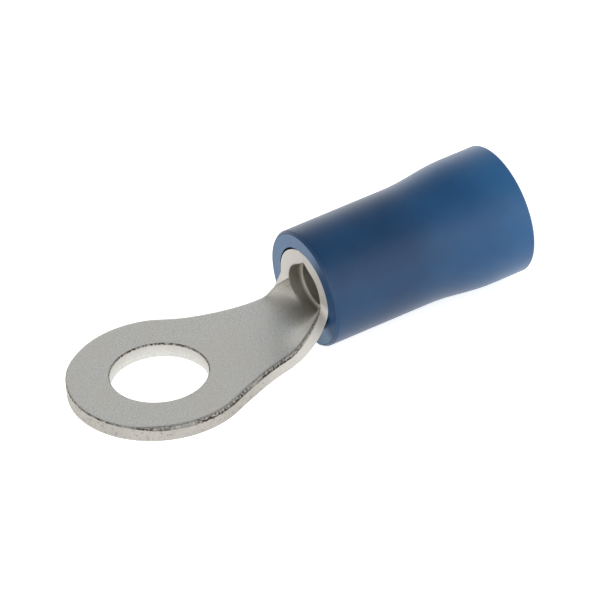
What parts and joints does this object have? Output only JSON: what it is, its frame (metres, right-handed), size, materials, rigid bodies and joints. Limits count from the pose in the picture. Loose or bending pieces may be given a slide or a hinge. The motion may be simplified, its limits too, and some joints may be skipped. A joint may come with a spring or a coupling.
{
  "type": "ring terminal",
  "caption": "Insulated crimp ring terminal: a flat ring for a screw stud, a rolled barrel for a stripped wire, and a flared insulating sleeve.",
  "frame": {"origin": "centre of the screw hole on the underside of the ring, which is the contact face", "axes": "+Z along the screw hole, away from the contact face; +X from the ring towards the barrel and the wire entry"},
  "size_m": [0.0217, 0.0082, 0.0059],
  "materials": {
    "tinned_copper": "matt electro-tinned copper sheet, bare sheared edges",
    "blue_sleeve": "satin moulded blue vinyl"
  },
  "bodies": {
    "root": {"ring_terminal": "tinned_copper", "insulating_sleeve": "blue_sleeve"}
  },
  "joints": []
}
